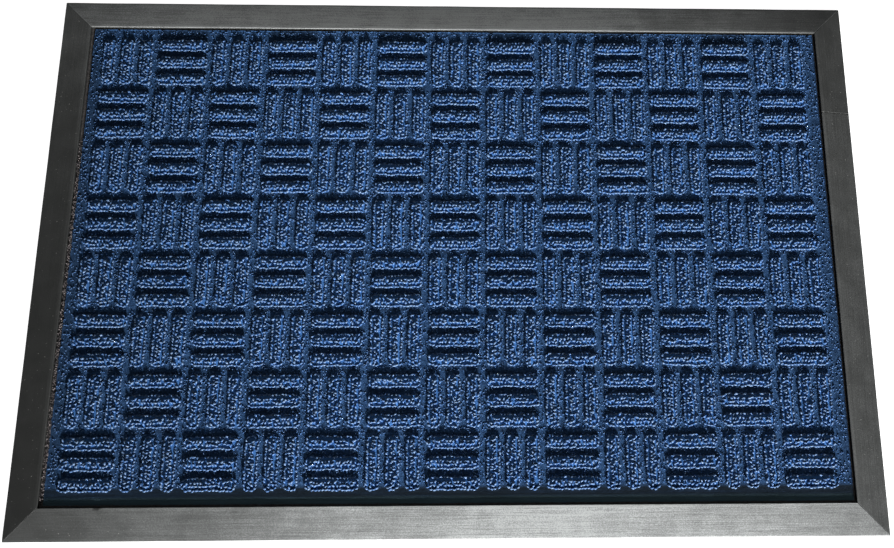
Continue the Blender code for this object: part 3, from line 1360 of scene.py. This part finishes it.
def facing_axes(azimuth: float, elevation: float, roll: float = 0.0) -> np.ndarray:
    """The axes of something in the sky that faces the mat.

    Args:
        azimuth: the way to it, in degrees round from the front.
        elevation: how high it stands, in degrees.
        roll: its turn about its own axis, in degrees.

    Returns:
        Its right, its top and its back, as columns.
    """
    back = direction(azimuth, elevation)
    level = np.cross([0.0, 0.0, 1.0], back)
    level /= np.linalg.norm(level)
    upward = np.cross(back, level)
    a = math.radians(roll)
    right = math.cos(a) * level + math.sin(a) * upward
    return np.stack([right, math.cos(a) * upward - math.sin(a) * level, back], axis=1)


def set_up(name: str, data: bpy.types.ID, axes: np.ndarray, place: np.ndarray) -> bpy.types.Object:
    """Adds a camera or a light.

    Args:
        name: the object's name.
        data: the camera or the light.
        axes: its right, its top and its back, as columns.
        place: where it stands.

    Returns:
        The new object.
    """
    item = bpy.data.objects.new(name, data)
    bpy.context.scene.collection.objects.link(item)
    pose = np.eye(4)
    pose[:3, :3], pose[:3, 3] = axes, place
    item.matrix_world = Matrix(pose.tolist())
    return item


@dataclass
class Studio:
    """The floor, the lights and the camera."""

    view_azimuth: float = -7.249
    view_elevation: float = 75.330
    view_roll: float = 7.061
    view_distance: float = 1.086
    view_target: Triple = (0.0696, -0.0219, 0.0)
    lens: float = 39.552
    shift: tuple[float, float] = (-0.0794, -0.0006)

    def camera(self) -> None:
        """The camera: it looks at the target from its place in the sky, rolled about its own axis."""
        axes = facing_axes(self.view_azimuth, self.view_elevation, self.view_roll)
        lens = bpy.data.cameras.new("camera")
        lens.lens = self.lens
        lens.shift_x, lens.shift_y = self.shift
        lens.clip_start = 0.01
        place = np.array(self.view_target) + axes[:, 2] * self.view_distance
        bpy.context.scene.camera = set_up("camera", lens, axes, place)

    def lamp(
        self, name: str, azimuth: float, elevation: float, distance: float, size: float, watts: float
    ) -> None:
        """A square soft light that faces the mat.

        Args:
            name: the light's name.
            azimuth: the way to it, in degrees round from the front.
            elevation: how high it stands, in degrees.
            distance: how far off it is.
            size: the length of its sides.
            watts: its power.
        """
        light = bpy.data.lights.new(name, "AREA")
        light.shape = "SQUARE"
        light.size = size
        light.energy = watts
        axes = facing_axes(azimuth, elevation)
        set_up(name, light, axes, axes[:, 2] * distance)

    def lights(self) -> None:
        """One low light from the front right, and a weak wide one overhead."""
        self.lamp("low_key", 13.0, 12.5, 6.0, 0.70, 1207.0)
        self.lamp("overhead", 8.0, 68.0, 2.6, 0.9, 5.5)

    def sky(self) -> None:
        """A dim even sky with a white band at the horizon, where a studio's walls would be."""
        world = bpy.data.worlds.new("studio")
        world.use_nodes = True
        tree = world.node_tree
        place = tree.nodes.new("ShaderNodeTexCoord")
        parts = tree.nodes.new("ShaderNodeSeparateXYZ")
        band = tree.nodes.new("ShaderNodeMapRange")
        shade = tree.nodes["Background"]
        tree.links.new(place.outputs["Generated"], parts.inputs["Vector"])
        tree.links.new(parts.outputs["Z"], band.inputs["Value"])
        limits = {"From Min": 0.04, "From Max": 0.10, "To Min": 0.9, "To Max": 0.04}
        for name, value in limits.items():
            band.inputs[name].default_value = value
        tree.links.new(band.outputs["Result"], shade.inputs["Color"])
        bpy.context.scene.world = world

    def floor(self) -> None:
        """A plain pale floor that glows a little, as a lit white table does."""
        half = 20.0
        points = np.array([(-half, -half, 0), (half, -half, 0), (half, half, 0), (-half, half, 0)], float)
        mesh = bpy.data.meshes.new("floor")
        mesh.from_pydata(points.tolist(), [], [(0, 1, 2, 3)])
        floor = bpy.data.objects.new("floor", mesh)
        bpy.context.scene.collection.objects.link(floor)
        graph = Graph("pale_floor")
        material = graph.dress(
            Base_Color=(0.8, 0.8, 0.8),
            Roughness=0.9,
            Emission_Color=(1.0, 1.0, 1.0),
            Emission_Strength=1.0,
        )
        mesh.materials.append(material)

    def build(self) -> None:
        """Sets up the whole studio."""
        self.camera()
        self.lights()
        self.sky()
        self.floor()
        bpy.context.scene.view_settings.view_transform = "Standard"


def main() -> None:
    """Builds the studio and the mat."""
    logging.basicConfig(level=logging.INFO, format="%(name)s: %(message)s")
    Studio().build()
    HiddenSheets().build()
    Border().build()
    Carpet(BarPattern()).build()


if __name__ == "__main__":
    main()
